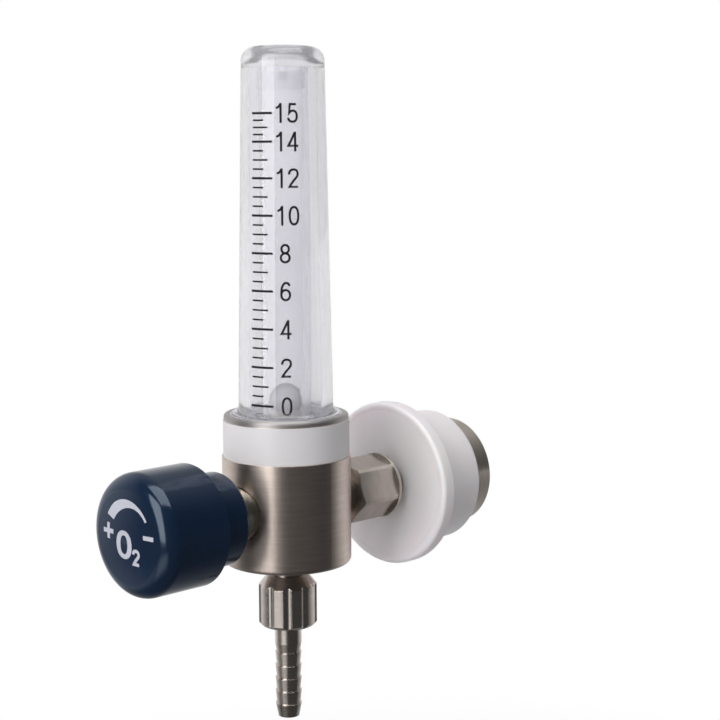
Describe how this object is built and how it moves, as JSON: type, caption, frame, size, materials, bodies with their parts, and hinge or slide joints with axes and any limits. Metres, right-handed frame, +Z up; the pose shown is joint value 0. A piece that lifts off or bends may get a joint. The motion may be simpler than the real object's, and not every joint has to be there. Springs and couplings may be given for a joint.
{
  "type": "oxygen flowmeter",
  "caption": "Wall-mounted oxygen flowmeter: turned metal block with a clear metering tube and ball float above, a needle valve knob in front, a wall probe behind and a hose barb below.",
  "frame": {"origin": "on the wall probe's axis, in the plane of the collar's rear face, which meets the wall outlet", "axes": "+Z up along the metering tube, +Y into the wall along the probe, and the knob faces -Y"},
  "size_m": [0.047, 0.1215, 0.1822],
  "materials": {
    "brushed_nickel": "satin, turned",
    "bright_nickel": "bright, turned",
    "union_metal": "satin",
    "clear_plastic": "clear",
    "knob_plastic": "gloss",
    "knob_print": "printed ink",
    "scale_print": "printed ink",
    "collar_plastic": "semi-gloss",
    "label_film": "satin",
    "ball_steel": "polished",
    "seal_rubber": "matt",
    "valve_brass": "turned",
    "sintered_bronze": "sintered",
    "screw_steel": "satin"
  },
  "bodies": {
    "meter": {"body": "brushed_nickel", "label_band": "label_film", "outer_tube": "clear_plastic", "outer_tube_o_ring": "seal_rubber", "metering_tube": "clear_plastic", "metering_tube_o_ring": "seal_rubber", "tube_top_cap": "clear_plastic", "tube_top_washer": "clear_plastic", "float_seat": "bright_nickel", "inlet_nipple": "union_metal", "union_washer": "seal_rubber", "union_nut": "union_metal", "tailpiece": "union_metal", "stem_clip": "screw_steel", "probe_collar": "collar_plastic", "probe_bell": "bright_nickel", "probe_nose": "bright_nickel", "nose_o_ring": "seal_rubber", "inlet_filter": "sintered_bronze", "filter_ring": "valve_brass", "valve_seat": "valve_brass", "valve_bonnet": "bright_nickel", "bonnet_o_ring": "seal_rubber", "outlet_stud": "bright_nickel"},
    "float": {"float_ball": "ball_steel"},
    "gland": {"spindle_o_ring": "seal_rubber"},
    "valve_knob": {"valve_spindle": "valve_brass", "knob": "knob_plastic", "knob_cap": "knob_plastic", "knob_screw": "screw_steel"},
    "hose_tail": {"hose_barb": "bright_nickel", "barb_o_ring": "seal_rubber"},
    "tail_nut": {"outlet_nut": "bright_nickel"}
  },
  "joints": [
    {"name": "float_rise", "type": "slide", "parent": "meter", "child": "float", "axis": [0, 0, 1], "range_m": [0, 0.08]},
    {"name": "spindle_travel", "type": "slide", "parent": "meter", "child": "gland", "axis": [0, -1, 0], "range_m": [0, 0.0015]},
    {"name": "knob_turn", "type": "hinge", "parent": "gland", "child": "valve_knob", "pos_m": [0, -0.095, 0], "axis": [0, -1, 0], "range_deg": [0, 720]},
    {"name": "tail_travel", "type": "slide", "parent": "meter", "child": "hose_tail", "axis": [0, 0, -1], "range_m": [0, 0.00937]},
    {"name": "nut_turn", "type": "hinge", "parent": "hose_tail", "child": "tail_nut", "pos_m": [0, -0.0584, -0.0264], "axis": [0, 0, -1], "range_deg": [0, 2700]}
  ],
  "couplings": [
    {"joint": "knob_turn", "follows": "spindle_travel", "rad_per_m": 8377.6},
    {"joint": "nut_turn", "follows": "tail_travel", "rad_per_m": 5026.5}
  ]
}
